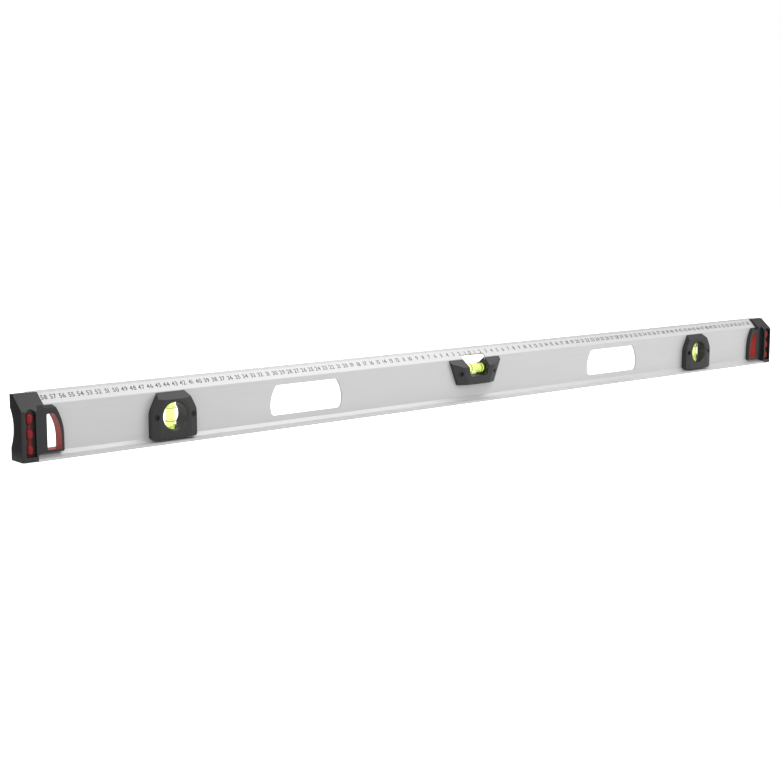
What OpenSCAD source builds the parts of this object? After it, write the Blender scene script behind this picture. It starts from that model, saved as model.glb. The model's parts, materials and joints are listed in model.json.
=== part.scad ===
// Magnetic I-beam spirit level with a bevelled scale face, two hand holes,
// three vials and end caps with rubber bumpers.
// X runs along the beam, the front is -Y and +Z is up. The origin is the middle
// of the base. All sizes are millimetres.

/* [Beam] */
// Length of the aluminium beam between the end caps
beam_len = 1194; // [1150:1:1300]
// Width of the base flange
flange_w = 25; // [24:0.5:27]
// Height of the beam
beam_h = 66.5; // [65:0.5:69]
// Thickness of the web
web_t = 2.4; // [2:0.1:2.8]
// Height of the base flange at its outer lips
base_lip = 2.4; // [2:0.1:2.8]
// Height of the base flange where it meets the slope of the web's foot
base_root = 3.4; // [3:0.1:3.8]
// Distance from the middle plane to that corner
base_root_y = 4.8; // [4.4:0.1:5.2]
// Height at which the scale face starts on the front of the web
scale_foot = 54.1; // [53.9:0.1:55]
// Width of the flat along the top edge
tip_flat = 0.8; // [0.6:0.1:1.6]
// Thickness of the scale plate, measured straight down
plate_drop = 2.8; // [2.4:0.1:3]
// Chamfer along the long edges of the base
edge_chamfer = 0.3; // [0.2:0.1:0.6]

/* [Hand holes] */
// Distance from mid length to the centre of a hand hole
hand_x = 261; // [220:1:300]
// Width of a hand hole at its widest
hand_w = 101; // [85:1:115]
// Bottom edge of a hand hole
hand_low = 13.3; // [12:0.1:15]
// Top edge of a hand hole
hand_high = 47; // [45:0.5:48]
// Height at which a hand hole is widest
hand_wide_z = 25; // [24:0.5:27]
// Radius of the bowed sides of a hand hole
hand_side_r = 34; // [32:1:50]
// Radius of the upper corners of a hand hole
hand_high_r = 4; // [2:0.5:6]
// Radius of the lower corners of a hand hole
hand_low_r = 6; // [4:0.5:7]

/* [End caps] */
// Length of the cap's end block, outside the beam
cap_len = 16.5; // [14:0.5:18]
// How far the block's top lies below the top edge of the beam
cap_drop = 0.9; // [0.5:0.1:2]
// Height of the block along its front edge
cap_front_h = 50; // [48:0.1:51]
// Width of the flat along the block's top
cap_flat = 6.2; // [5:0.1:9]
// Gap between the block's faces and the widest faces of the beam
cap_inset = 0.3; // [0.2:0.1:0.6]
// Height of the block's underside above the base face
cap_low = 0.4; // [0.2:0.1:1]
// Chamfer on the block's front upright edge
cap_edge = 1.8; // [1:0.1:2.4]
// Distance the cap's hood reaches over the scale face
hood_reach = 9.5; // [7:0.5:10]
// Height of the pockets under the hood
pocket_high = 55.5; // [55:0.1:57]
// Radius of a pocket's upper corner
pocket_r = 6; // [3:0.5:7]
// Distance the tongue reaches along the web
tongue_reach = 30.8; // [30.2:0.2:34]
// Distance from the middle plane to the tongue's face
tongue_face = 6.8; // [6.4:0.1:8]
// Lower edge of the tongue
tongue_low = 6.8; // [6.2:0.1:7.4]
// Upper edge of the tongue on the web
tongue_high = 53.2; // [51:0.1:53.4]
// Upper edge of the tongue on its face
tongue_face_high = 51; // [49.6:0.1:51.6]
// Radius of the tongue's curved end
tongue_r = 56; // [48:0.5:70]
// Height at which the tongue's end starts to curve
tongue_bend_z = 22; // [18:0.5:24]
// Radius of the tongue's lower corner
tongue_corner = 1.6; // [1:0.5:5]
// Depth of the finger scoop in the rear upright edge
scoop_depth = 2.8; // [1.5:0.1:3]
// Radius of the finger scoop
scoop_r = 70; // [60:1:90]
// Height of the middle of the finger scoop
scoop_z = 32.5; // [30:0.5:35]
// Angle between the finger scoop and the cap's end face
scoop_turn = 21; // [10:1:30]

/* [Hang hole] */
// Distance from the end of the beam to the straight side of the hang hole
hang_gap = 11.8; // [11:0.1:13]
// Width of the hang hole
hang_w = 17.5; // [16:0.1:17.8]
// Lower edge of the hang hole
hang_low = 8.6; // [8.4:0.1:10]
// Upper edge of the hang hole
hang_high = 45.9; // [43:0.1:47]
// Radius of the hang hole's curved side
hang_r = 44; // [40:0.2:50]
// Height at which the hang hole's side starts to curve
hang_bend_z = 20; // [18:0.5:22]
// Radius of the hang hole's corners
hang_corner = 2; // [1.5:0.1:3]
// Thickness of the lips that hold the hang hole's liner
liner_lip = 0.8; // [0.6:0.1:1.2]
// Wall of the hang hole's liner
liner_wall = 0.8; // [0.6:0.1:1.2]

/* [Bumpers] */
// Width of the recess for a bumper strip
recess_w = 11; // [10.4:0.1:12]
// Depth of that recess
recess_depth = 4.2; // [3.6:0.1:4.6]
// Distance from the cap's end face to the middle of the recess
recess_x = 9.3; // [8.4:0.1:10]
// Lower end of the recess
recess_low = 5; // [3:0.1:5.2]
// Upper end of the arched recess
recess_high = 52; // [50:0.1:52.4]
// Width of a bumper pad
pad_w = 8.6; // [7.6:0.1:8.8]
// Height of a bumper pad
pad_h = 12; // [10.8:0.1:12.6]
// Height of the middle pad
pad_z = 27.2; // [26.6:0.1:27.6]
// Distance between neighbouring pads
pad_pitch = 15.4; // [14.8:0.1:15.6]
// How far a pad lies below the cap's face
pad_inset = 1; // [0.4:0.1:1.4]
// Width of the necks that join the pads
neck_w = 2.4; // [1.6:0.1:4]
// Height of the necks above the recess floor
neck_h = 0.8; // [0.6:0.1:1.6]
// Diameter of the pegs behind the pads
peg_d = 4; // [3:0.1:5]
// Length of the pegs
peg_len = 2.4; // [1.5:0.1:3]

/* [Plumb units] */
// Distance from mid length to a plumb vial
plumb_x = 440; // [420:1:470]
// Half width of the housing
plumb_half = 27; // [26.4:0.1:28.4]
// Half width of the housing along its top
plumb_top_half = 17; // [16:0.1:19]
// Angle of the housing's leaning sides
plumb_lean = 28; // [26:1:30]
// Radius between the upright and the leaning sides
plumb_side_r = 20; // [16:1:24]
// Bottom of the housing
plumb_low = 5.2; // [4.8:0.1:6]
// Radius of the housing's lower corners
plumb_corner_r = 2.5; // [1.5:0.5:4]
// Height of the housing's front face
plumb_face_top = 46.3; // [45.6:0.1:47.5]
// Width of the bevel along the housing's sides
plumb_bevel_x = 8; // [6:0.1:9]
// Depth of the bevel along the housing's sides
plumb_bevel_y = 1.6; // [1:0.1:2.4]
// Height of the window's centre
plumb_z = 28.6; // [28:0.1:29]
// Diameter of the window
window_d = 28.8; // [27:0.1:30]
// Width of the bevel round the window
window_bevel = 1.2; // [0.8:0.1:2]
// Width of the bevel round the window on the back
window_back_bevel = 3.5; // [1:0.1:4]
// Distance from the window's centre to a screw
plumb_screw_x = 22.4; // [22.2:0.1:22.8]
// Distance from the middle plane to the top of a plumb unit's screw
plumb_screw_top = 9; // [8.4:0.1:9.4]
// Length of a plumb vial
plumb_vial_len = 37; // [35:0.5:38]
// Diameter of a plumb vial
plumb_vial_d = 12; // [10.6:0.1:12.4]
// Thickness of a plumb vial's closed end
plumb_vial_end = 2; // [1.5:0.1:3]
// Length of the air space in a plumb vial
plumb_bubble_len = 7; // [6:0.1:8]

/* [Centre unit] */
// Half width of the centre housing along its top
centre_top_half = 43; // [41:0.5:46]
// Half width of the centre housing along its bottom
centre_low_half = 30.5; // [30:0.5:34]
// Bottom of the centre housing
centre_low = 22.4; // [21:0.1:23.4]
// Height of the centre housing's front face
centre_face_top = 44.5; // [44:0.1:46]
// Depth of the bevel along the centre housing's sides
centre_bevel_y = 5.4; // [4:0.1:6]
// Width of the bevel along the centre housing's sides
centre_bevel_x = 12; // [11:0.1:13]
// Half width of the U-shaped window at its top
u_top_half = 19; // [18.6:0.1:19.2]
// Half width of the U-shaped window where its sides end
u_low_half = 14.8; // [14:0.1:15.4]
// Height of the U-shaped window's floor
u_floor = 32.4; // [31.8:0.1:33.4]
// Radius of the U-shaped window's lower corners
u_corner = 4; // [3:0.5:5]
// Height of the centre vial's axis
centre_z = 40.8; // [40.6:0.1:41.2]
// Length of the centre vial
centre_vial_len = 37; // [36:0.5:40]
// Diameter of the centre vial
centre_vial_d = 13.6; // [12.6:0.1:14]
// Thickness of the centre vial's closed end
centre_vial_end = 5.4; // [4:0.1:6]
// Length of the bubble in the centre vial
centre_bubble_len = 17; // [14:0.5:19]
// Distance from the middle to a screw
centre_screw_x = 28.6; // [28.2:0.1:29]
// Height of the centre unit's screws
centre_screw_z = 36; // [35:0.5:37]
// Distance from the middle plane to the top of a centre unit's screw
centre_screw_top = 7.8; // [7.2:0.1:8]
// Half width of the notch in the scale face
notch_half = 19.3; // [19.2:0.1:20]
// How far the notch reaches back from the front of the web
notch_rise = 4.2; // [3.8:0.1:5]

/* [Housings] */
// Distance from the middle plane to the housings' front faces
house_face = 10.8; // [10.4:0.1:11.2]
// Height of the housings' top edge on the web
house_top = 53.2; // [52.6:0.1:53.4]

/* [Vials] */
// Wall of a vial tube
vial_wall = 1.6; // [1.3:0.1:1.8]
// Length of a vial's sealing plug
plug_len = 3; // [2:0.1:3.4]
// Diameter of the bubble compared with the vial's bore
bubble_share = 0.72; // [0.6:0.02:0.8]

/* [Screws] */
// Diameter of a housing screw
screw_d = 3; // [2.6:0.1:3.2]
// Diameter of a screw head
head_d = 5.6; // [5:0.1:5.8]
// Height of a screw head
head_h = 2; // [1.7:0.1:2.2]
// How far a screw reaches past the middle plane
screw_reach = 6.5; // [5:0.1:7]
// Diameter of the driver socket
socket_d = 2.6; // [2.2:0.1:3]

/* [Magnets] */
// Length of a base magnet
magnet_len = 30; // [20:1:40]
// Width of a base magnet
magnet_w = 6.4; // [5:0.1:7]
// Thickness of a base magnet
magnet_t = 2.6; // [2:0.1:3]
// Distance from mid length to the inner magnets
magnet_in_x = 150; // [120:1:180]
// Distance from mid length to the outer magnets
magnet_out_x = 360; // [340:1:375]
// How far the magnets lie above the base face
magnet_recess = 0.2; // [0.1:0.1:0.4]

/* [Fits] */
// Clearance round a piece that is pushed into a pocket
fit_gap = 0.1; // [0.05:0.05:0.15]
// Clearance between the moulded pieces and the slopes of the beam
slope_gap = 0.3; // [0.2:0.1:0.5]
// Clearance round a screw
screw_gap = 0.2; // [0.1:0.05:0.3]

/* [Hidden] */
$fn = 48;

cut = 1;
half_w = flange_w / 2;
half_web = web_t / 2;
half_beam = beam_len / 2;
cap_end = half_beam + cap_len;
cap_face = half_w - cap_inset;
cap_top = beam_h - cap_drop;
foot_top = base_root + base_root_y - half_web;
plate_slope = (beam_h - scale_foot) / (half_w - tip_flat + half_web);
plate_angle = atan(plate_slope);
plate_under = scale_foot + plate_slope * web_t - plate_drop;
tip_under = plate_under + plate_slope * (half_w - half_web);
notch_y = notch_rise - half_web;
notch_z = scale_foot + plate_slope * notch_rise;
tongue_end = half_beam - tongue_reach;
hood_end = half_beam - hood_reach;
hood_gap = slope_gap / cos(plate_angle);
hood_low = foot_top + slope_gap;
hang_side = half_beam - hang_gap;
liner_face = tongue_face - liner_lip - fit_gap;
recess_mid = cap_end - recess_x;
recess_floor = cap_face - recess_depth;
plumb_cut_half = 18;
plumb_cut_low = 9;
plumb_cut_high = 49.6;
centre_cut_half = 24.4;
centre_cut_low = 27;
centre_cut_high = 49.6;
cut_corner = 5;
plumb_bore = plumb_vial_d / 2 - vial_wall;
centre_bore = centre_vial_d / 2 - vial_wall;
plumb_bottom = plumb_z - plumb_vial_len / 2;
centre_lean = atan((centre_top_half - centre_low_half) / (house_top - centre_low));

// Turns an outline in the Y-Z plane into a bar along X, from x0 to x1
module along_x(x0, x1) translate([x0, 0, 0]) rotate([90, 0, 90]) linear_extrude(x1 - x0) children();

// Turns an outline in the X-Z plane into a slab across Y, from y0 to y1
module across_y(y0, y1) translate([0, y1, 0]) rotate([90, 0, 0]) linear_extrude(y1 - y0) children();

module to_left() mirror([1, 0, 0]) children();
module to_front() mirror([0, 1, 0]) children();
module both_faces() {
    children();
    to_front() children();
}
module both_sides() {
    children();
    to_left() children();
}

// Rectangle between two corners with rounded corners
module soft_rect(x0, z0, x1, z1, r) {
    translate([x0 + r, z0]) square([x1 - x0 - 2 * r, z1 - z0]);
    translate([x0, z0 + r]) square([x1 - x0, z1 - z0 - 2 * r]);
    for (x = [x0 + r, x1 - r], z = [z0 + r, z1 - r]) translate([x, z]) circle(r);
}

// Beam

module beam_section() polygon([
    [-half_w + edge_chamfer, 0], [half_w - edge_chamfer, 0], [half_w, edge_chamfer],
    [half_w, base_lip], [base_root_y, base_root], [half_web, foot_top],
    [half_web, plate_under], [half_w, tip_under], [half_w, beam_h],
    [half_w - tip_flat, beam_h], [-half_web, scale_foot], [-half_web, foot_top],
    [-base_root_y, base_root], [-half_w, base_lip], [-half_w, edge_chamfer]]);

// Centre of a hand hole's corner fillet, and where that fillet meets the bowed side
hand_side_x = hand_w / 2 - hand_side_r;
function fillet_x(z, r) = hand_side_x + sqrt(pow(hand_side_r - r, 2) - pow(z - hand_wide_z, 2));
function fillet_end(z, r) = hand_wide_z + (z - hand_wide_z) * hand_side_r / (hand_side_r - r);
hand_top_z = hand_high - hand_high_r;
hand_bottom_z = hand_low + hand_low_r;
hand_top_x = fillet_x(hand_top_z, hand_high_r);
hand_bottom_x = fillet_x(hand_bottom_z, hand_low_r);

module hand_hole_outline() {
    low = fillet_end(hand_bottom_z, hand_low_r);
    high = fillet_end(hand_top_z, hand_high_r);
    intersection() {
        translate([-hand_w, low]) square([2 * hand_w, high - low]);
        union() {
            for (x = [-hand_side_x, hand_side_x]) translate([x, hand_wide_z]) circle(hand_side_r, $fn = 120);
            translate([-hand_side_x, low]) square([2 * hand_side_x, high - low]);
        }
    }
    translate([-hand_top_x, high - cut]) square([2 * hand_top_x, hand_high - high + cut]);
    translate([-hand_bottom_x, hand_low]) square([2 * hand_bottom_x, low - hand_low + cut]);
    for (s = [-1, 1]) {
        translate([s * hand_top_x, hand_top_z]) circle(hand_high_r);
        translate([s * hand_bottom_x, hand_bottom_z]) circle(hand_low_r);
    }
}

module plumb_cut_outline(gap) soft_rect(-plumb_cut_half + gap, plumb_cut_low + gap,
    plumb_cut_half - gap, plumb_cut_high - gap, cut_corner);

module centre_cut_outline(gap) soft_rect(-centre_cut_half + gap, centre_cut_low + gap,
    centre_cut_half - gap, centre_cut_high - gap, cut_corner);

// Removes the foot of the scale plate above the centre vial, square to the plate
module scale_notch() {
    reach = plate_drop + cut;
    back = [notch_y + reach * sin(plate_angle), notch_z - reach * cos(plate_angle)];
    along_x(-notch_half, notch_half) polygon([
        [notch_y, notch_z], back, [back.x, centre_cut_high - cut_corner],
        [-half_web - cut, centre_cut_high - cut_corner], [-half_web - cut, notch_z]]);
}

module beam() color("Silver") difference() {
    along_x(-half_beam, half_beam) beam_section();
    across_y(-half_web - cut, half_web + cut) {
        for (x = [-hand_x, hand_x]) translate([x, 0]) hand_hole_outline();
        for (x = [-plumb_x, plumb_x]) translate([x, 0]) plumb_cut_outline(0);
        centre_cut_outline(0);
        hang_outline(fit_gap);
        mirror([1, 0]) hang_outline(fit_gap);
        for (x = screw_xs(plumb_x)) translate([x, plumb_z]) circle(screw_d / 2 + screw_gap);
        for (s = [-1, 1]) translate([s * centre_screw_x, centre_screw_z]) circle(screw_d / 2 + screw_gap);
    }
    scale_notch();
    for (x = magnet_xs) translate([x - magnet_len / 2 - fit_gap, -magnet_w / 2 - fit_gap, -cut])
        cube([magnet_len + 2 * fit_gap, magnet_w + 2 * fit_gap, magnet_t + magnet_recess + fit_gap + cut]);
}

function screw_xs(x) = [-x - plumb_screw_x, -x + plumb_screw_x, x - plumb_screw_x, x + plumb_screw_x];

// End cap, drawn for the right end

module hang_outline(grow) {
    x0 = hang_side - hang_w - grow;
    intersection() {
        soft_rect(x0, hang_low - grow, hang_side + grow, hang_high + grow, hang_corner + grow);
        union() {
            translate([hang_side - hang_w + hang_r, hang_bend_z]) circle(hang_r + grow, $fn = 120);
            translate([x0, hang_low - grow]) square([hang_w, hang_bend_z - hang_low + grow]);
        }
    }
}

module tongue_outline() {
    intersection() {
        soft_rect(tongue_end, tongue_low, half_beam + 3 * tongue_corner, tongue_high, tongue_corner);
        union() {
            translate([tongue_end + tongue_r, tongue_bend_z]) circle(tongue_r, $fn = 120);
            translate([tongue_end, tongue_low]) square([tongue_reach, tongue_bend_z - tongue_low]);
        }
        translate([tongue_end, tongue_low]) square([tongue_reach + cut, tongue_high - tongue_low]);
    }
    translate([half_beam - tongue_reach / 4, tongue_high - tongue_corner])
        square([tongue_reach / 4 + cut, tongue_corner]);
}

// Space between the web, its foot and a moulded piece whose underside is at z
function foot_points(z) = [[half_web, foot_top + slope_gap], [foot_top + half_web + slope_gap - z, z]];

module tongue_section() polygon(concat(foot_points(tongue_low),
    [[tongue_face, tongue_low], [tongue_face, tongue_face_high], [half_web, tongue_high]]));

module tongue() intersection() {
    along_x(tongue_end, half_beam + cut) tongue_section();
    across_y(half_web, tongue_face) tongue_outline();
}

module cap_section() polygon([
    [-cap_face, cap_low], [cap_face, cap_low], [cap_face, cap_top],
    [cap_face - cap_flat, cap_top], [-cap_face, cap_front_h]]);

// Hood over the scale face and its filling behind the scale plate
module hood_section() {
    plate_back = plate_under - hood_gap + plate_slope * (cap_face - half_web);
    plate_top = (cap_top - scale_foot - hood_gap) / plate_slope - half_web;
    polygon([[-half_web, hood_low], [-cap_face, hood_low], [-cap_face, cap_front_h],
        [cap_face - cap_flat, cap_top], [plate_top, cap_top], [-half_web, scale_foot + hood_gap]]);
    polygon([[half_web, hood_low], [cap_face, hood_low], [cap_face, plate_back], [half_web, plate_under - hood_gap]]);
}

// Pocket between the end block and the hood, outside the tongue's face
module pocket_outline() {
    translate([hood_end - cut, 0]) square([hood_reach + cut, pocket_high - pocket_r]);
    translate([hood_end - cut, 0]) square([hood_reach + cut - pocket_r, pocket_high]);
    translate([half_beam - pocket_r, pocket_high - pocket_r]) circle(pocket_r);
}

module recess_outline() {
    translate([recess_mid - recess_w / 2, recess_low]) square([recess_w, recess_high - recess_w / 2 - recess_low]);
    translate([recess_mid, recess_high - recess_w / 2]) circle(recess_w / 2);
}

pad_zs = [pad_z - pad_pitch, pad_z, pad_z + pad_pitch];

module pegs(grow) for (z = pad_zs) translate([recess_mid, recess_floor + cut, z]) rotate([90, 0, 0])
    cylinder(d = peg_d + 2 * grow, h = peg_len + grow + cut);

// Scoop for a fingertip in the rear upright edge of the cap
module finger_scoop() translate([cap_end, cap_face, scoop_z]) rotate([0, 0, scoop_turn])
    translate([scoop_r - scoop_depth, 0, 0]) rotate([90, 0, 0])
        cylinder(r = scoop_r, h = 3 * flange_w, center = true, $fn = 120);

module end_cap() difference() {
    union() {
        along_x(half_beam, cap_end) cap_section();
        difference() {
            along_x(hood_end, half_beam + cut) hood_section();
            both_faces() across_y(tongue_face, half_w + cut) pocket_outline();
        }
        both_faces() tongue();
    }
    both_faces() {
        across_y(recess_floor, half_w + cut) recess_outline();
        pegs(fit_gap);
    }
    across_y(-half_w, half_w) hang_outline(-liner_wall);
    across_y(-liner_face - fit_gap, liner_face + fit_gap) hang_outline(fit_gap);
    finger_scoop();
    translate([cap_end, -cap_face, 0]) rotate([0, 0, -45])
        cube([cap_edge * sqrt(2), 2 * flange_w, 3 * beam_h], center = true);
}

// Rubber strip with three rounded pads, drawn for the right end and the back
module bumper_strip() {
    intersection() {
        for (z = pad_zs) translate([recess_mid, cap_face - pad_inset - pad_w / 2, z]) {
            cylinder(d = pad_w, h = pad_h - pad_w, center = true);
            for (s = [-1, 1]) translate([0, 0, s * (pad_h - pad_w) / 2]) sphere(d = pad_w);
        }
        translate([half_beam, recess_floor, 0]) cube([cap_len, flange_w, beam_h]);
    }
    translate([recess_mid - neck_w / 2, recess_floor, pad_z - pad_pitch])
        cube([neck_w, neck_h, 2 * pad_pitch]);
    pegs(0);
}

module hang_liner() across_y(-liner_face, liner_face) difference() {
    hang_outline(0);
    hang_outline(-liner_wall);
}

// Plumb unit, drawn at mid length

side_drop = (plumb_half - plumb_top_half) / tan(plumb_lean);
side_tangent = plumb_side_r * tan(plumb_lean / 2);
side_bend_z = house_top - side_drop - side_tangent;

module plumb_outline() {
    x = plumb_half - side_tangent * sin(plumb_lean);
    z = side_bend_z + side_tangent + side_tangent * cos(plumb_lean);
    r = plumb_corner_r;
    polygon([[-plumb_half, plumb_low + r], [-plumb_half + r, plumb_low], [plumb_half - r, plumb_low],
        [plumb_half, plumb_low + r], [plumb_half, side_bend_z], [x, z], [plumb_top_half, house_top],
        [-plumb_top_half, house_top], [-x, z], [-plumb_half, side_bend_z]]);
    for (s = [-1, 1]) {
        translate([s * (plumb_half - r), plumb_low + r]) circle(r);
        translate([s * (plumb_half - plumb_side_r), side_bend_z]) circle(plumb_side_r, $fn = 96);
    }
}

// Wedge that bevels a side edge leaning by the given angle, through (x, z)
module side_wedge(x, z, lean, w, d) {
    slope = d / w;
    translate([x, 0, z]) rotate([0, lean, 0]) linear_extrude(3 * beam_h, center = true) polygon([
        [2 * cut, house_face - d - 2 * cut * slope], [-w - 2 * cut, house_face + 2 * cut * slope],
        [2 * cut, house_face + 2 * cut * slope]]);
}

module plumb_section() polygon(concat(foot_points(plumb_low),
    [[house_face, plumb_low], [house_face, plumb_face_top], [half_web, house_top]]));

// Screw holes for both halves; the front half also takes the head
module screw_holes(xs, z, top, front) for (x = xs) translate([x, 0, z]) rotate([-90, 0, 0]) {
    cylinder(d = screw_d + 2 * screw_gap, h = front ? house_face + cut : screw_reach + 2 * screw_gap);
    if (front) translate([0, 0, top - head_h - fit_gap]) cylinder(d = head_d + 2 * screw_gap, h = house_face);
}

module plumb_half_housing(front) difference() {
    bevel = front ? window_bevel : window_back_bevel;
    union() {
        intersection() {
            along_x(-plumb_half, plumb_half) plumb_section();
            across_y(half_web, house_face) plumb_outline();
        }
        across_y(0, half_web + cut) plumb_cut_outline(fit_gap);
    }
    both_sides() {
        side_wedge(plumb_half, plumb_z, 0, plumb_bevel_x, plumb_bevel_y);
        side_wedge(plumb_top_half, house_top, -plumb_lean, plumb_bevel_x, plumb_bevel_y);
    }
    translate([0, 0, plumb_z]) rotate([-90, 0, 0]) {
        translate([0, 0, -cut]) cylinder(d = window_d, h = house_face + 2 * cut, $fn = 96);
        translate([0, 0, house_face - bevel])
            cylinder(d1 = window_d, d2 = window_d + 4 * bevel, h = 2 * bevel, $fn = 96);
    }
    translate([0, 0, plumb_bottom - fit_gap]) cylinder(d = plumb_vial_d + 2 * fit_gap, h = plumb_vial_len + 2 * fit_gap);
    screw_holes([-plumb_screw_x, plumb_screw_x], plumb_z, plumb_screw_top, front);
}

// Clear tube along Z, closed at the bottom
module vial(d, len, end) difference() {
    cylinder(d = d, h = len);
    translate([0, 0, end]) cylinder(d = d - 2 * vial_wall, h = len);
}

module plumb_vial() translate([0, 0, plumb_bottom]) vial(plumb_vial_d, plumb_vial_len, plumb_vial_end);

module plumb_fluid() {
    len = plumb_vial_len - plumb_vial_end - plug_len;
    r = plumb_bore * bubble_share;
    translate([0, 0, plumb_bottom + plumb_vial_end]) difference() {
        cylinder(r = plumb_bore, h = len);
        translate([0, 0, len - plumb_bubble_len + r]) {
            cylinder(r = r, h = plumb_bubble_len);
            sphere(r);
        }
    }
}

module plumb_plug() translate([0, 0, plumb_bottom + plumb_vial_len - plug_len])
    cylinder(r = plumb_bore, h = plug_len);

// Screw with a socket head that lies towards the front
module screw(top) {
    rotate([90, 0, 0]) difference() {
        union() {
            translate([0, 0, -screw_reach]) cylinder(d = screw_d, h = screw_reach + top - cut);
            translate([0, 0, top - head_h]) cylinder(d = head_d, h = head_h);
        }
        translate([0, 0, top - 1.2]) cylinder(d = socket_d, h = 2 * cut);
    }
}

module plumb_screws() for (s = [-1, 1]) translate([s * plumb_screw_x, 0, plumb_z]) screw(plumb_screw_top);

// Centre unit

module centre_outline() polygon([
    [-centre_low_half, centre_low], [centre_low_half, centre_low],
    [centre_top_half, house_top], [-centre_top_half, house_top]]);

module centre_section() polygon([
    [half_web, centre_low], [house_face, centre_low],
    [house_face, centre_face_top], [half_web, house_top]]);

module u_outline() {
    z = u_floor + u_corner;
    polygon([[-u_top_half - (u_top_half - u_low_half) / 4, house_top + (house_top - z) / 4], [-u_low_half, z],
        [u_corner - u_low_half, u_floor], [u_low_half - u_corner, u_floor], [u_low_half, z],
        [u_top_half + (u_top_half - u_low_half) / 4, house_top + (house_top - z) / 4]]);
    for (s = [-1, 1]) translate([s * (u_low_half - u_corner), z]) circle(u_corner);
}

module centre_half_housing(front) difference() {
    union() {
        intersection() {
            along_x(-centre_top_half, centre_top_half) centre_section();
            across_y(half_web, house_face) centre_outline();
        }
        across_y(0, half_web + cut) centre_cut_outline(fit_gap);
    }
    both_sides() side_wedge(centre_low_half, centre_low, centre_lean, centre_bevel_x, centre_bevel_y);
    across_y(-cut, house_face + cut) u_outline();
    translate([0, 0, centre_z]) rotate([0, 90, 0])
        cylinder(d = centre_vial_d + 2 * fit_gap, h = centre_vial_len + 2 * fit_gap, center = true);
    screw_holes([-centre_screw_x, centre_screw_x], centre_screw_z, centre_screw_top, front);
}

module along_centre() translate([-centre_vial_len / 2, 0, centre_z]) rotate([0, 90, 0]) children();

module centre_vial() along_centre() vial(centre_vial_d, centre_vial_len, centre_vial_end);

module centre_fluid() {
    len = centre_vial_len - 2 * centre_vial_end;
    r = centre_bore * bubble_share;
    rise = centre_bore - r - 0.3;
    difference() {
        along_centre() translate([0, 0, centre_vial_end]) cylinder(r = centre_bore, h = len);
        translate([0, 0, centre_z + rise]) {
            rotate([0, 90, 0]) cylinder(r = r, h = centre_bubble_len - 2 * r, center = true);
            for (s = [-1, 1]) translate([s * (centre_bubble_len / 2 - r), 0, 0]) sphere(r);
        }
    }
}

module centre_plug() along_centre() translate([0, 0, centre_vial_len - centre_vial_end])
    cylinder(r = centre_bore, h = centre_vial_end);

module centre_screws() for (s = [-1, 1]) translate([s * centre_screw_x, 0, centre_screw_z]) screw(centre_screw_top);

// Magnets

magnet_xs = [-magnet_out_x, -magnet_in_x, magnet_in_x, magnet_out_x];

module magnet(x) color("DimGray") translate([x - magnet_len / 2, -magnet_w / 2, magnet_recess])
    cube([magnet_len, magnet_w, magnet_t]);

// Pieces in place

module at_plumb(side) translate([side * plumb_x, 0, 0]) children();

module end_cap_right() color("DimGray") end_cap();
module end_cap_left() color("DimGray") to_left() end_cap();
module bumper_strip_right_back() color("Firebrick") bumper_strip();
module bumper_strip_right_front() color("Firebrick") to_front() bumper_strip();
module bumper_strip_left_back() color("Firebrick") to_left() bumper_strip();
module bumper_strip_left_front() color("Firebrick") to_left() to_front() bumper_strip();
module hang_liner_right() color("IndianRed") hang_liner();
module hang_liner_left() color("IndianRed") to_left() hang_liner();
module plumb_housing_left_front() color("DimGray") at_plumb(-1) to_front() plumb_half_housing(true);
module plumb_housing_left_back() color("DimGray") at_plumb(-1) plumb_half_housing(false);
module plumb_housing_right_front() color("DimGray") at_plumb(1) to_front() plumb_half_housing(true);
module plumb_housing_right_back() color("DimGray") at_plumb(1) plumb_half_housing(false);
module centre_housing_front() color("DimGray") to_front() centre_half_housing(true);
module centre_housing_back() color("DimGray") centre_half_housing(false);
module plumb_vial_left() color("Ivory") at_plumb(-1) plumb_vial();
module plumb_vial_right() color("Ivory") at_plumb(1) plumb_vial();
module plumb_fluid_left() color("GreenYellow") at_plumb(-1) plumb_fluid();
module plumb_fluid_right() color("GreenYellow") at_plumb(1) plumb_fluid();
module plumb_plug_left() color("Olive") at_plumb(-1) plumb_plug();
module plumb_plug_right() color("Olive") at_plumb(1) plumb_plug();
module plumb_screws_left() color("Gray") at_plumb(-1) plumb_screws();
module plumb_screws_right() color("Gray") at_plumb(1) plumb_screws();

beam();
end_cap_left();
end_cap_right();
bumper_strip_left_front();
bumper_strip_left_back();
bumper_strip_right_front();
bumper_strip_right_back();
hang_liner_left();
hang_liner_right();
plumb_housing_left_front();
plumb_housing_left_back();
plumb_housing_right_front();
plumb_housing_right_back();
centre_housing_front();
centre_housing_back();
plumb_vial_left();
plumb_vial_right();
color("Ivory") centre_vial();
plumb_fluid_left();
plumb_fluid_right();
color("GreenYellow") centre_fluid();
plumb_plug_left();
plumb_plug_right();
color("Olive") centre_plug();
plumb_screws_left();
plumb_screws_right();
color("Gray") centre_screws();
magnet(magnet_xs[0]);  // magnet_far_left
magnet(magnet_xs[1]);  // magnet_left
magnet(magnet_xs[2]);  // magnet_right
magnet(magnet_xs[3]);  // magnet_far_right
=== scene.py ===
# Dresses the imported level: finishes for every CAD node, the printed scale, and the lines on the vials
import json
import math

import bmesh
import bpy
from mathutils import Matrix, Vector


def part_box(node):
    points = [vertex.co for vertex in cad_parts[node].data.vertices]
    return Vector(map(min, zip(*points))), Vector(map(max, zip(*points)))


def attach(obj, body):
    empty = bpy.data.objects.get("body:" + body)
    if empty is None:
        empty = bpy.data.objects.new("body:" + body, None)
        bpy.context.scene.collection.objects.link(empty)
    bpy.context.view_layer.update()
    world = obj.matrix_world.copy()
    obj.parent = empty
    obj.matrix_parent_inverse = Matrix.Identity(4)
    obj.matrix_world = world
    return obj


MM = 0.001

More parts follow.
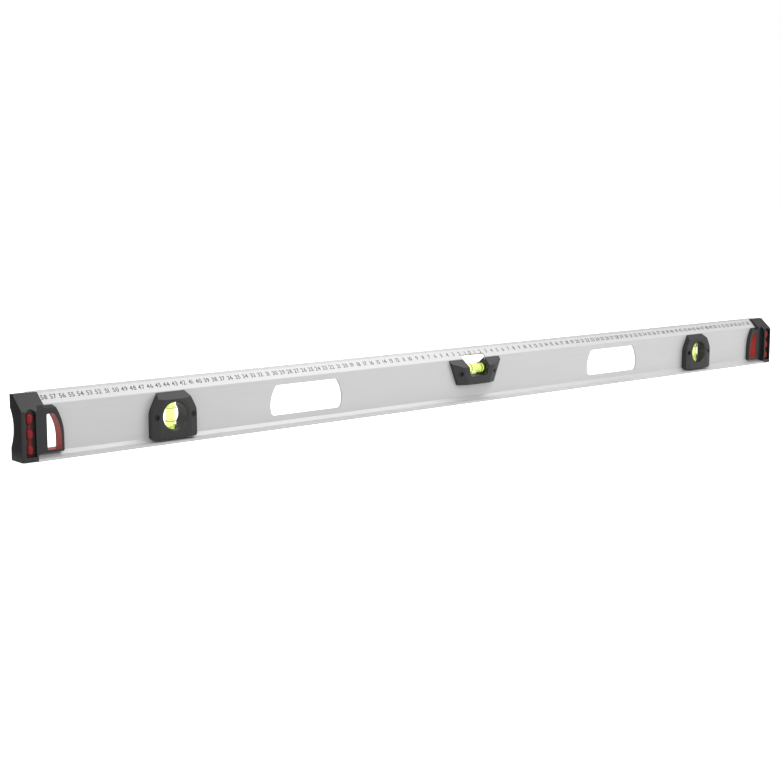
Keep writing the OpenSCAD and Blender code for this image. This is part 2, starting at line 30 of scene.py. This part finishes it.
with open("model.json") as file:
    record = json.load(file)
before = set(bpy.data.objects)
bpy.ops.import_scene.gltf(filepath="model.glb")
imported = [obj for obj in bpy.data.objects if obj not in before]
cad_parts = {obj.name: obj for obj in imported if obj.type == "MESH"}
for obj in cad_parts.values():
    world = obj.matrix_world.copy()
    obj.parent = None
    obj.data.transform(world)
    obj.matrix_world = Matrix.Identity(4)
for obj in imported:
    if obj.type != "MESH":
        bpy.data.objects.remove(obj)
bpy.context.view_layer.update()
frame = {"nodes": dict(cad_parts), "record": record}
NODES = frame["nodes"]

# The scale face leans back from the foot of the plate to the top edge of the beam
PLATE_FOOT = Vector((0, -1.2, 54.1)) * MM
PLATE_TOP = Vector((0, 11.7, 66.5)) * MM
PLATE_LEAN = math.atan2(PLATE_TOP.z - PLATE_FOOT.z, PLATE_TOP.y - PLATE_FOOT.y)

# The printed zero lies a little left of the middle
SCALE_ZERO = -2.2 * MM
SCALE_END_CM = 58
MM_PER_NUMBER = 10
INK_HEIGHT = 0.04 * MM

# Puts a flat layout on the scale face: its X stays, its Y runs up the face from the top edge
SCALE_PLACE = (Matrix.Translation(PLATE_TOP) @ Matrix.Rotation(PLATE_LEAN, 4, "X")
               @ Matrix.Translation((SCALE_ZERO, 0, 0)))

# A line at each millimetre, and a few more lines past the last number
LINE_PITCH = 1 * MM
LINES_PAST_END = 8
LINE_WIDTH = 0.2 * MM
SHORT_LINE = 3.2 * MM
MIDDLE_LINE = 3.9 * MM
LONG_LINE = 4.6 * MM

# The numbers lie below the top edge, off their lines towards the zero by an inset for each count of digits
NUMBER_DROP = 9.3 * MM
NUMBER_INSET = {1: 2.0 * MM, 2: 1.3 * MM}
DIGIT_HEIGHT = 5.7 * MM
DIGIT_GAP = 0.7 * MM
DIGIT_SQUEEZE = 0.88
DIGIT_WEIGHT = 0.12 * MM
DIGIT_CURVE_STEPS = 3
# Height of a digit as a share of the size of the font
DIGIT_SHARE = 0.72

# Printed lines round the vials, in pairs
BAND_HEIGHT = 0.08 * MM
RING_STEPS = 64
PLUMB_LINES = {"radius": 6.0 * MM, "middle": 29.2 * MM, "spacing": 14.0 * MM, "width": 0.6 * MM}
CENTRE_LINES = {"radius": 6.8 * MM, "spacing": 17.0 * MM, "width": 1.2 * MM, "along_x": True}

BEVEL_SAMPLES = 6
# Places of the sockets that a mix node uses when it mixes plain numbers
MIX_FACTOR, MIX_FIRST, MIX_SECOND = 0, 2, 3


def add_object(name, data):
    made = bpy.data.objects.new(name, data)
    bpy.context.scene.collection.objects.link(made)
    return made


def add_shape(name, shape, finish):
    """Turns a bmesh into an object with one finish."""
    mesh = bpy.data.meshes.new(name)
    shape.to_mesh(mesh)
    shape.free()
    mesh.materials.append(finish)
    return add_object(name, mesh)


# Finishes

def new_finish(name):
    finish = bpy.data.materials.new(name)
    finish.use_nodes = True
    nodes = finish.node_tree.nodes
    return finish, nodes, finish.node_tree.links, nodes["Principled BSDF"]


def node(nodes, kind, **values):
    """A new node, with each value given to the input or the setting of that name."""
    made = nodes.new(kind)
    for key, value in values.items():
        if key in made.inputs:
            made.inputs[key].default_value = value
        else:
            setattr(made, key, value)
    return made


def noise(nodes, links, stretch=(1, 1, 1), **values):
    """A noise that stays with the object, closer along an axis with a larger stretch."""
    place = nodes.new("ShaderNodeTexCoord")
    mapping = node(nodes, "ShaderNodeMapping", Scale=stretch)
    made = node(nodes, "ShaderNodeTexNoise", **values)
    links.new(place.outputs["Object"], mapping.inputs["Vector"])
    links.new(mapping.outputs["Vector"], made.inputs["Vector"])
    return made.outputs["Fac"]


def ramp(nodes, links, source, dark, light, low=0.3, high=0.7):
    """The dark colour up to the low value, the light one from the high value."""
    made = nodes.new("ShaderNodeValToRGB")
    stops = ((low, dark), (high, light))
    for element, (at, colour) in zip(made.color_ramp.elements, stops):
        element.position = at
        element.color = (*colour, 1)
    links.new(source, made.inputs["Fac"])
    return made.outputs["Color"]


def span(nodes, links, source, low, high):
    made = nodes.new("ShaderNodeMapRange")
    made.inputs["To Min"].default_value = low
    made.inputs["To Max"].default_value = high
    links.new(source, made.inputs["Value"])
    return made.outputs["Result"]


def relief(nodes, links, source, depth, strength, edge):
    """Bump over edges that are eased by a small radius."""
    eased = node(nodes, "ShaderNodeBevel", samples=BEVEL_SAMPLES, Radius=edge)
    bump = node(nodes, "ShaderNodeBump", Strength=strength, Distance=depth)
    links.new(source, bump.inputs["Height"])
    links.new(eased.outputs["Normal"], bump.inputs["Normal"])
    return bump.outputs["Normal"]


def anodised_aluminium():
    """Fine streaks along the beam under a slow cloud."""
    finish, nodes, links, shader = new_finish("anodised_aluminium")
    streaks = noise(nodes, links, (6, 1400, 1400), Scale=1.0, Detail=4.0, Roughness=0.6)
    cloud = noise(nodes, links, (1, 3, 3), Scale=9.0, Detail=3.0)
    mixed = node(nodes, "ShaderNodeMix", data_type="FLOAT")
    mixed.inputs[MIX_FACTOR].default_value = 0.35
    links.new(streaks, mixed.inputs[MIX_FIRST])
    links.new(cloud, mixed.inputs[MIX_SECOND])
    tone = ramp(nodes, links, mixed.outputs[0], dark=(0.565, 0.565, 0.57),
                light=(0.64, 0.64, 0.64), low=0.2, high=0.8)
    links.new(tone, shader.inputs["Base Color"])
    links.new(span(nodes, links, streaks, low=0.44, high=0.58), shader.inputs["Roughness"])
    links.new(relief(nodes, links, streaks, depth=0.00002, strength=0.15, edge=0.0002),
              shader.inputs["Normal"])
    shader.inputs["Metallic"].default_value = 0.28
    return finish


def moulded_plastic():
    finish, nodes, links, shader = new_finish("moulded_black_plastic")
    grain = noise(nodes, links, Scale=1400.0, Detail=3.0, Roughness=0.6)
    flow = noise(nodes, links, (1, 1, 2), Scale=60.0, Detail=2.0)
    tone = ramp(nodes, links, flow, dark=(0.006, 0.006, 0.0062), light=(0.009, 0.009, 0.0092))
    links.new(tone, shader.inputs["Base Color"])
    links.new(span(nodes, links, grain, low=0.36, high=0.50), shader.inputs["Roughness"])
    links.new(relief(nodes, links, grain, depth=0.00004, strength=0.25, edge=0.0006),
              shader.inputs["Normal"])
    shader.inputs["Specular IOR Level"].default_value = 0.65
    return finish


def rubber(name, dark, light, smooth):
    finish, nodes, links, shader = new_finish(name)
    grain = noise(nodes, links, Scale=900.0, Detail=2.0)
    links.new(ramp(nodes, links, grain, dark, light), shader.inputs["Base Color"])
    links.new(span(nodes, links, grain, low=smooth, high=smooth + 0.12), shader.inputs["Roughness"])
    links.new(relief(nodes, links, grain, depth=0.00003, strength=0.2, edge=0.0005),
              shader.inputs["Normal"])
    shader.inputs["Specular IOR Level"].default_value = 0.35
    return finish


def clear_acrylic(name, colour, roughness):
    finish, nodes, links, shader = new_finish(name)
    ripple = noise(nodes, links, Scale=220.0, Detail=1.0)
    links.new(span(nodes, links, ripple, low=roughness, high=roughness + 0.02),
              shader.inputs["Roughness"])
    shader.inputs["Base Color"].default_value = (*colour, 1)
    shader.inputs["Transmission Weight"].default_value = 1.0
    shader.inputs["IOR"].default_value = 1.06
    return finish


def tinted_spirit():
    """Clear dyed liquid with a painted glow: an emission that brightens it in place of light refracted
    through the vial.
    """
    finish, nodes, links, shader = new_finish("tinted_spirit")
    drift = noise(nodes, links, Scale=90.0, Detail=1.0)
    tone = ramp(nodes, links, drift, dark=(0.87, 0.945, 0.68), light=(0.89, 0.955, 0.72))
    links.new(tone, shader.inputs["Base Color"])
    shader.inputs["Transmission Weight"].default_value = 0.78
    # Painted glow: this emission stands in for light refracted through the vial; the liquid is no lamp
    shader.inputs["Emission Color"].default_value = (0.85, 1.0, 0.48, 1)
    shader.inputs["Emission Strength"].default_value = 0.18
    shader.inputs["Roughness"].default_value = 0.0
    shader.inputs["IOR"].default_value = 1.05
    return finish


def steel(name, dark, light, low, high, metallic):
    finish, nodes, links, shader = new_finish(name)
    marks = noise(nodes, links, Scale=700.0, Detail=3.0)
    links.new(ramp(nodes, links, marks, dark, light), shader.inputs["Base Color"])
    links.new(span(nodes, links, marks, low, high), shader.inputs["Roughness"])
    links.new(relief(nodes, links, marks, depth=0.00002, strength=0.2, edge=0.0002),
              shader.inputs["Normal"])
    shader.inputs["Metallic"].default_value = metallic
    return finish


def printing_ink(name, dark, light):
    finish, nodes, links, shader = new_finish(name)
    worn = noise(nodes, links, Scale=350.0, Detail=4.0, Roughness=0.7)
    tone = ramp(nodes, links, worn, dark, light, low=0.35, high=0.75)
    links.new(tone, shader.inputs["Base Color"])
    links.new(span(nodes, links, worn, low=0.28, high=0.42), shader.inputs["Roughness"])
    return finish


FINISHES = {
    "extrusion": anodised_aluminium(),
    "housing_plastic": moulded_plastic(),
    "bumper_rubber": rubber("red_bumper_rubber", dark=(0.19, 0.006, 0.009),
                            light=(0.25, 0.009, 0.012), smooth=0.42),
    "liner_rubber": rubber("red_liner_rubber", dark=(0.42, 0.035, 0.022),
                           light=(0.50, 0.048, 0.03), smooth=0.3),
    "vial_clear": clear_acrylic("clear_acrylic", colour=(0.96, 0.985, 0.66), roughness=0.0),
    "vial_fluid": tinted_spirit(),
    "vial_plug": clear_acrylic("vial_plug_acrylic", colour=(0.90, 0.97, 0.62), roughness=0.12),
    "screw": steel("black_oxide_steel", dark=(0.02, 0.02, 0.02), light=(0.035, 0.035, 0.035),
                   low=0.35, high=0.5, metallic=0.4),
    "magnet": steel("plated_magnet", dark=(0.45, 0.45, 0.46), light=(0.55, 0.55, 0.55),
                    low=0.25, high=0.4, metallic=1.0),
}
INK = printing_ink("printing_ink", dark=(0.04, 0.04, 0.043), light=(0.09, 0.09, 0.093))
PALE_INK = printing_ink("pale_printing_ink", dark=(0.22, 0.22, 0.225), light=(0.30, 0.30, 0.305))
OLIVE_INK = printing_ink("olive_printing_ink", dark=(0.03, 0.035, 0.01), light=(0.05, 0.055, 0.015))

for part in frame["record"]["subparts"]:
    solid = NODES[part["node"]]
    solid.data.materials.clear()
    solid.data.materials.append(FINISHES[part["material_slot"]])


# Geometry trees

def new_tree(name, floats, counts=()):
    """A geometry tree that takes numbers, counts and a finish, and its inputs' outlets."""
    tree = bpy.data.node_groups.new(name, "GeometryNodeTree")
    face = tree.interface
    face.new_socket("Geometry", in_out="OUTPUT", socket_type="NodeSocketGeometry")
    for kind, names in (
            ("NodeSocketFloat", floats), ("NodeSocketInt", counts), ("NodeSocketMaterial", ["Finish"])):
        for each in names:
            face.new_socket(each, in_out="INPUT", socket_type=kind)
    return tree, tree.links, tree.nodes.new("NodeGroupInput").outputs


def tree_node(tree, kind, **settings):
    made = tree.nodes.new(kind)
    for key, value in settings.items():
        setattr(made, key, value)
    return made


def feed(tree, sockets, values):
    """Links each socket to its value where that is another node's outlet, or sets it."""
    for socket, value in zip(sockets, values):
        if hasattr(value, "is_output"):
            tree.links.new(value, socket)
        else:
            socket.default_value = value


def maths(tree, operation, a, b, integer=False):
    kind = "FunctionNodeIntegerMath" if integer else "ShaderNodeMath"
    made = tree_node(tree, kind, operation=operation)
    feed(tree, made.inputs, (a, b))
    return made.outputs[0]


def vector(tree, x, y, z):
    made = tree.nodes.new("ShaderNodeCombineXYZ")
    feed(tree, made.inputs, (x, y, z))
    return made.outputs[0]


def copy_and_paint(tree, points, shape, finish, scale=None):
    """Puts the shape on every point, makes the copies real and hands them out with their finish."""
    links = tree.links
    copies = tree.nodes.new("GeometryNodeInstanceOnPoints")
    links.new(points, copies.inputs["Points"])
    links.new(shape, copies.inputs["Instance"])
    if scale is not None:
        links.new(scale, copies.inputs["Scale"])
    real = tree.nodes.new("GeometryNodeRealizeInstances")
    links.new(copies.outputs["Instances"], real.inputs["Geometry"])
    paint = tree.nodes.new("GeometryNodeSetMaterial")
    links.new(real.outputs["Geometry"], paint.inputs["Geometry"])
    links.new(finish, paint.inputs["Material"])
    links.new(paint.outputs["Geometry"], tree.nodes.new("NodeGroupOutput").inputs[0])


def bake(name, tree, values, finish, place):
    """Runs a geometry tree once and keeps its result as a plain mesh at the origin."""
    holder = add_object(name + "_maker", bpy.data.meshes.new(name + "_maker"))
    maker = holder.modifiers.new("maker", "NODES")
    maker.node_group = tree
    sockets = {item.name: item.identifier for item in tree.interface.items_tree
               if item.in_out == "INPUT"}
    for key, value in values.items():
        maker[sockets[key]] = value
    maker[sockets["Finish"]] = finish
    holder.data.materials.append(finish)
    ready = holder.evaluated_get(bpy.context.evaluated_depsgraph_get())
    mesh = bpy.data.meshes.new_from_object(ready)
    mesh.transform(place)
    piece = add_object(name, mesh)
    bpy.data.objects.remove(holder)
    return piece


# Printed scale

def ruler_tree():
    """A row of printed lines with longer ones at every fifth and tenth."""
    tree, links, given = new_tree("ruler_lines", (
        "Pitch", "Line Width", "Short Line", "Middle Line", "Long Line", "Ink Height"), ["Count Each Side"])
    each_side = given["Count Each Side"]
    count = maths(tree, "ADD", maths(tree, "MULTIPLY", each_side, 2, True), 1, True)
    first = maths(tree, "MULTIPLY", maths(tree, "MULTIPLY", each_side, given["Pitch"]), -1)
    row = tree_node(tree, "GeometryNodeMeshLine", mode="OFFSET")
    links.new(count, row.inputs["Count"])
    links.new(vector(tree, first, 0, 0), row.inputs["Start Location"])
    links.new(vector(tree, given["Pitch"], 0, 0), row.inputs["Offset"])
    index = tree.nodes.new("GeometryNodeInputIndex").outputs[0]
    from_middle = maths(tree, "SUBTRACT", index, each_side, True)
    distance = maths(tree, "ABSOLUTE", from_middle, 0, True)

    def choose(period, yes, no):
        """One value at every line that is a multiple of the period, the other elsewhere."""
        same = tree_node(tree, "FunctionNodeCompare", data_type="INT", operation="EQUAL")
        links.new(maths(tree, "MODULO", distance, period, True), same.inputs[2])
        made = tree_node(tree, "GeometryNodeSwitch", input_type="FLOAT")
        links.new(same.outputs[0], made.inputs["Switch"])
        links.new(no, made.inputs["False"])
        links.new(yes, made.inputs["True"])
        return made.outputs[0]

    length = choose(10, given["Long Line"], choose(5, given["Middle Line"], given["Short Line"]))
    bar = tree.nodes.new("GeometryNodeMeshCube")
    # A bar of unit length hangs down from the top edge
    drop = tree.nodes.new("GeometryNodeTransform")
    links.new(bar.outputs["Mesh"], drop.inputs["Geometry"])
    drop.inputs["Translation"].default_value = (0, -0.5, 0)
    copy_and_paint(tree, row.outputs["Mesh"], drop.outputs["Geometry"], given["Finish"],
                   scale=vector(tree, given["Line Width"], length, given["Ink Height"]))
    return tree


ticks = bake("scale_lines", ruler_tree(), {
    "Pitch": LINE_PITCH, "Count Each Side": SCALE_END_CM * MM_PER_NUMBER + LINES_PAST_END,
    "Line Width": LINE_WIDTH, "Short Line": SHORT_LINE, "Middle Line": MIDDLE_LINE,
    "Long Line": LONG_LINE, "Ink Height": 2 * INK_HEIGHT}, PALE_INK, SCALE_PLACE)


def digit_meshes():
    """Every digit as a thin flat solid with its left and right edge, each shaped only once."""
    made = {}
    for digit in "0123456789":
        curve = bpy.data.curves.new("digit", "FONT")
        curve.body = digit
        curve.size = DIGIT_HEIGHT / DIGIT_SHARE
        curve.extrude = INK_HEIGHT
        curve.offset = DIGIT_WEIGHT
        curve.resolution_u = DIGIT_CURVE_STEPS
        holder = add_object("digit", curve)
        bpy.context.view_layer.update()
        ready = holder.evaluated_get(bpy.context.evaluated_depsgraph_get())
        mesh = bpy.data.meshes.new_from_object(ready)
        mesh.transform(Matrix.Diagonal((DIGIT_SQUEEZE, 1, 1, 1)))
        xs = [v.co.x for v in mesh.vertices]
        made[digit] = (mesh, min(xs), max(xs))
        bpy.data.objects.remove(holder)
    return made


def scale_numbers():
    """Centimetre numbers from the zero to both ends."""
    digits = digit_meshes()
    shape = bmesh.new()
    for step in range(-SCALE_END_CM, SCALE_END_CM + 1):
        word = str(abs(step))
        side = (step > 0) - (step < 0)
        width = sum(digits[d][2] - digits[d][1] for d in word) + DIGIT_GAP * (len(word) - 1)
        x = step * MM_PER_NUMBER * MM - width / 2 - side * NUMBER_INSET[len(word)]
        for d in word:
            mesh, low, high = digits[d]
            start = len(shape.verts)
            shape.from_mesh(mesh)
            shape.verts.ensure_lookup_table()
            bmesh.ops.translate(shape, verts=shape.verts[start:],
                                vec=(x - low, -NUMBER_DROP - DIGIT_HEIGHT / 2, 0))
            x += high - low + DIGIT_GAP
    shape.transform(SCALE_PLACE)
    return add_shape("scale_numbers", shape, INK)


numbers = scale_numbers()


# Lines round the vials

def vial_line_tree():
    """Two thin printed bands round a tube that stands along Z."""
    tree, links, given = new_tree("vial_lines", ("Radius", "Half Spacing", "Band Width", "Band Height"))
    ring = tree_node(tree, "GeometryNodeCurvePrimitiveCircle", mode="RADIUS")
    ring.inputs["Resolution"].default_value = RING_STEPS
    links.new(given["Radius"], ring.inputs["Radius"])
    profile = tree_node(tree, "GeometryNodeCurvePrimitiveQuadrilateral", mode="RECTANGLE")
    links.new(given["Band Height"], profile.inputs["Width"])
    links.new(given["Band Width"], profile.inputs["Height"])
    band = tree.nodes.new("GeometryNodeCurveToMesh")
    links.new(ring.outputs["Curve"], band.inputs["Curve"])
    links.new(profile.outputs["Curve"], band.inputs["Profile Curve"])
    pair = tree_node(tree, "GeometryNodeMeshLine", mode="END_POINTS")
    pair.inputs["Count"].default_value = 2
    # In this mode the offset is the place of the last point
    for sign, socket in ((-1, "Start Location"), (1, "Offset")):
        height = maths(tree, "MULTIPLY", given["Half Spacing"], sign)
        links.new(vector(tree, 0, 0, height), pair.inputs[socket])
    copy_and_paint(tree, pair.outputs["Mesh"], band.outputs["Mesh"], given["Finish"])
    return tree


VIAL_LINES = vial_line_tree()


def vial_lines(name, vial, radius, spacing, width, middle=None, along_x=False):
    """Bands on both sides of a tube's middle, or of a given height."""
    low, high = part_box(vial)
    centre = (Vector(low) + Vector(high)) / 2
    if middle is not None:
        centre.z = middle
    place = Matrix.Translation(centre)
    if along_x:
        place = place @ Matrix.Rotation(math.pi / 2, 4, "Y")
    return bake(name, VIAL_LINES, {
        "Radius": radius, "Half Spacing": spacing / 2, "Band Width": width,
        "Band Height": BAND_HEIGHT}, OLIVE_INK, place)


rings = [
    vial_lines("vial_lines_left", "plumb_vial_left", **PLUMB_LINES),
    vial_lines("vial_lines_right", "plumb_vial_right", **PLUMB_LINES),
    vial_lines("vial_lines_centre", "centre_vial", **CENTRE_LINES),
]

for piece in [ticks, numbers, *rings]:
    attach(piece, "root")


# Floor, light and camera: floor and lamps in metres, camera in millimetres

def choose_by_ray(nodes, links, plain, bright, surface):
    """The bright shader for camera and transmission rays, the plain one for all the others."""
    path = nodes.new("ShaderNodeLightPath")
    seen = node(nodes, "ShaderNodeMath", operation="MAXIMUM")
    links.new(path.outputs["Is Camera Ray"], seen.inputs[0])
    links.new(path.outputs["Is Transmission Ray"], seen.inputs[1])
    pick = nodes.new("ShaderNodeMixShader")
    for socket, source in zip(pick.inputs, (seen.outputs[0], plain, bright)):
        links.new(source, socket)
    links.new(pick.outputs[0], surface)


def floor(size, height, tone, glow):
    """A wide pale floor that looks white to the camera."""
    finish, nodes, links, shader = new_finish("pale_floor")
    shader.inputs["Base Color"].default_value = (tone, tone, tone, 1)
    shader.inputs["Roughness"].default_value = 0.9
    shine = node(nodes, "ShaderNodeEmission", Strength=glow)
    both = nodes.new("ShaderNodeAddShader")
    links.new(shader.outputs[0], both.inputs[0])
    links.new(shine.outputs[0], both.inputs[1])
    choose_by_ray(nodes, links, shader.outputs[0], both.outputs[0],
                  nodes["Material Output"].inputs["Surface"])
    shape = bmesh.new()
    bmesh.ops.create_grid(shape, x_segments=1, y_segments=1, size=size)
    shape.transform(Matrix.Translation((0, 0, height)))
    made = add_shape("floor", shape, finish)


def dark_card(x_low, x_high, y, foot, top, tone):
    """A folded black card by the left end, mirrored in the cap's end face, unseen by cameras."""
    shape = bmesh.new()
    fold = ((0, foot), (y, foot), (y, top))
    rows = [[shape.verts.new((x, *p)) for p in fold] for x in (x_low, x_high)]
    for step in (0, 1):
        shape.faces.new((rows[0][step], rows[1][step], rows[1][step + 1], rows[0][step + 1]))
    finish, _, _, shader = new_finish("dark_card")
    shader.inputs["Base Color"].default_value = (tone, tone, tone, 1)
    shader.inputs["Specular IOR Level"].default_value = 0.0
    made = add_shape("dark_card", shape, finish)
    for way in ("camera", "diffuse", "transmission", "shadow"):
        setattr(made, "visible_" + way, False)


def world_light(strength):
    """A pale room that looks white to the camera."""
    world = bpy.data.worlds.new("pale_room")
    world.use_nodes = True
    bpy.context.scene.world = world
    nodes, links = world.node_tree.nodes, world.node_tree.links
    room = nodes["Background"]
    room.inputs["Color"].default_value = (1, 1, 1, 1)
    room.inputs["Strength"].default_value = strength
    white = node(nodes, "ShaderNodeBackground", Color=(1, 1, 1, 1), Strength=1.0)
    choose_by_ray(nodes, links, room.outputs[0], white.outputs[0],
                  nodes["World Output"].inputs["Surface"])


def lamp(name, place, aim, size, power):
    light = bpy.data.lights.new(name, "AREA")
    light.shape = "RECTANGLE"
    light.size, light.size_y = size
    light.energy = power
    made = add_object(name, light)
    made.location = place
    made.rotation_euler = (Vector(aim) - Vector(place)).to_track_quat("-Z", "Y").to_euler()


def camera(turn, rise, roll, lens, place):
    """A camera with its angles in degrees, and its place, lens and sensor in millimetres."""
    turn, rise, roll = (math.radians(a) for a in (turn, rise, roll))
    back = Vector((math.sin(turn) * math.cos(rise), -math.cos(turn) * math.cos(rise), math.sin(rise)))
    side = Vector((math.cos(turn), math.sin(turn), 0))
    up = back.cross(side)
    side, up = (side * math.cos(roll) + up * math.sin(roll),
                up * math.cos(roll) - side * math.sin(roll))
    eye = bpy.data.cameras.new("camera")
    eye.sensor_fit = "HORIZONTAL"
    eye.sensor_width = 36
    eye.lens = lens
    eye.clip_start = 0.05
    made = add_object("camera", eye)
    made.matrix_world = (Matrix.Translation(Vector(place) * MM)
                         @ Matrix((side, up, back)).transposed().to_4x4())
    bpy.context.scene.camera = made


floor(size=12, height=-0.0002, tone=0.86, glow=0.95)
dark_card(x_low=-1.5, x_high=-0.625, y=0.09, foot=0.0005, top=0.3, tone=0.15)
world_light(strength=0.62)
lamp("key", place=(-1.5, -1.8, 1.8), aim=(-0.5, 0, 0), size=(1.6, 1.2), power=17)
lamp("fill", place=(1.5, -1.7, 0.7), aim=(0.6, 0, 0), size=(1.2, 1.0), power=6.5)
lamp("top", place=(0.6, -0.4, 1.5), aim=(-0.3, 0, 0), size=(1.4, 0.9), power=12.5)
camera(turn=-40.966, rise=8.24, roll=0.095, lens=66.607, place=(-1240.3, -1271.05, 269.3))

bpy.context.scene.view_settings.view_transform = "Standard"
